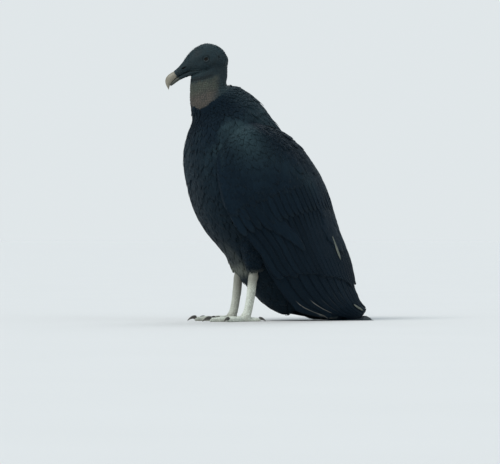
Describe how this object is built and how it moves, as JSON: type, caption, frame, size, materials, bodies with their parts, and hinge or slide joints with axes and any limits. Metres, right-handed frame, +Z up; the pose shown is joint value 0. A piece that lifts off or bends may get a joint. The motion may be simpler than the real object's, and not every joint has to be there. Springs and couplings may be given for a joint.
{
  "type": "black vulture",
  "caption": "Life-size still model of a black vulture standing upright on its feet, wings folded, tail laid on the ground, bare head turned slightly to its right.",
  "frame": {"origin": "on the ground, under the middle of the bird's bounding box", "axes": "+Z up, -Y the way the body faces, +X towards the bird's left side"},
  "size_m": [0.1986, 0.3736, 0.4841],
  "materials": {
    "plumage": "glossy black feathers with a faint blue sheen",
    "head_skin": "bare, wrinkled dark grey skin",
    "neck_skin": "bare, wrinkled grey-brown skin",
    "leg_skin": "scaly, chalky off-white over grey",
    "horn": "pale worn horn",
    "claw": "dark horn, blunt",
    "eye": "wet, dark brown"
  },
  "bodies": {
    "root": {"head": "head_skin", "lower_jaw": "head_skin", "bill_upper": "horn", "bill_lower": "horn", "eye_left": "eye", "eye_right": "eye", "neck": "neck_skin", "trunk": "plumage", "tail": "plumage", "wing_left_coverts": "plumage", "wing_left_secondaries": "plumage", "wing_left_primaries": "plumage", "wing_right_coverts": "plumage", "wing_right_secondaries": "plumage", "wing_right_primaries": "plumage", "thigh_left": "plumage", "thigh_right": "plumage", "shank_left": "leg_skin", "shank_right": "leg_skin", "toe_left_hallux": "leg_skin", "toe_left_inner": "leg_skin", "toe_left_middle": "leg_skin", "toe_left_outer": "leg_skin", "toe_right_hallux": "leg_skin", "toe_right_inner": "leg_skin", "toe_right_middle": "leg_skin", "toe_right_outer": "leg_skin", "claw_left_hallux": "claw", "claw_left_inner": "claw", "claw_left_middle": "claw", "claw_left_outer": "claw", "claw_right_hallux": "claw", "claw_right_inner": "claw", "claw_right_middle": "claw", "claw_right_outer": "claw"}
  },
  "joints": []
}
